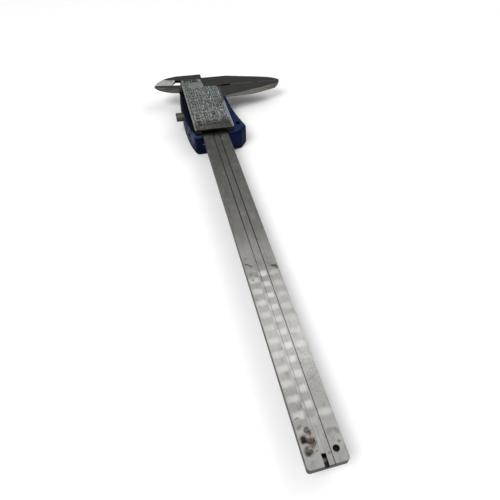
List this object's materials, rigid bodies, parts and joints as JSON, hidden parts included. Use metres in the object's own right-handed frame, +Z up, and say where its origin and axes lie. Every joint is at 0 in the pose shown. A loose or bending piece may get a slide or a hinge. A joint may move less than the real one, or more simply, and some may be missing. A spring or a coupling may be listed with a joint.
{
  "type": "digital caliper",
  "caption": "Digital caliper with long outside jaws, short inside jaws, a sliding depth rod, a lock screw and a display casing with a thumb hook.",
  "frame": {"origin": "on the resting face of the casing's front cover, below the beam's centre line and half way along the casing", "axes": "+Y runs along the beam towards the jaws, +X towards the tips of the long jaws, +Z up through the back of the caliper"},
  "size_m": [0.09, 0.2872, 0.0158],
  "materials": {
    "ground_steel": "ground and lapped, lightly stained",
    "plate_steel": "dull satin",
    "screw_steel": "turned",
    "black_steel": "blackened",
    "brass": "satin",
    "label": "printed foil, matt",
    "scale_board": "glass fibre board",
    "scale_print": "printed film",
    "navy_plastic": "moulded, satin",
    "dark_plastic": "moulded, fine grain",
    "window": "clear",
    "display": "reflective display glass",
    "rubber": "conductive strip",
    "board": "green solder mask",
    "black_resin": "moulded blob",
    "red_button": "moulded",
    "yellow_button": "moulded",
    "grey_button": "moulded",
    "plated_steel": "plated"
  },
  "bodies": {
    "beam": {"main_beam": "ground_steel", "scale_board": "scale_board", "scale_cover": "scale_print", "stop_screw": "black_steel", "head_label": "label"},
    "slider": {"slider_frame": "ground_steel", "back_plate": "plate_steel", "back_label": "label", "plate_screws": "screw_steel", "back_guides": "brass", "gib_strip": "brass", "gib_screws": "black_steel", "depth_rod": "ground_steel", "rod_screw": "screw_steel", "casing_shell": "navy_plastic", "front_cover": "dark_plastic", "hook_screw": "black_steel", "lcd_window": "window", "lcd_glass": "display", "contact_rubbers": "rubber", "circuit_board": "board", "board_screws": "screw_steel", "processor": "black_resin", "switches": "plated_steel", "cell": "plated_steel", "cell_contacts": "plated_steel"},
    "power_button": {"button_power": "red_button"},
    "zero_button": {"button_zero": "yellow_button"},
    "unit_button": {"button_unit": "grey_button"},
    "cell_door": {"cell_cover": "dark_plastic"},
    "lock_tip": {"lock_pad": "brass"},
    "lock_knob": {"lock_screw": "screw_steel"}
  },
  "joints": [
    {"name": "slider_travel", "type": "slide", "parent": "beam", "child": "slider", "axis": [0, -1, 0], "range_m": [0, 0.2]},
    {"name": "power_button_press", "type": "slide", "parent": "slider", "child": "power_button", "axis": [0, 0, 1], "range_m": [0, 0.0005], "stiffness_N_per_m": 900, "springref_m": -0.0003},
    {"name": "zero_button_press", "type": "slide", "parent": "slider", "child": "zero_button", "axis": [0, 0, 1], "range_m": [0, 0.0005], "stiffness_N_per_m": 900, "springref_m": -0.0003},
    {"name": "unit_button_press", "type": "slide", "parent": "slider", "child": "unit_button", "axis": [0, 0, 1], "range_m": [0, 0.0005], "stiffness_N_per_m": 900, "springref_m": -0.0003},
    {"name": "cell_door_slide", "type": "slide", "parent": "slider", "child": "cell_door", "axis": [0, -1, 0], "range_m": [0, 0.022]},
    {"name": "lock_feed", "type": "slide", "parent": "slider", "child": "lock_tip", "axis": [1, 0, 0], "range_m": [-0.0015, 0.00025]},
    {"name": "lock_turn", "type": "hinge", "parent": "lock_tip", "child": "lock_knob", "pos_m": [-0.0165, -0.0023, 0.0112], "axis": [1, 0, 0], "range_deg": [-1082, 182]}
  ],
  "couplings": [
    {"joint": "lock_turn", "follows": "lock_feed", "rad_per_m": 12566}
  ]
}
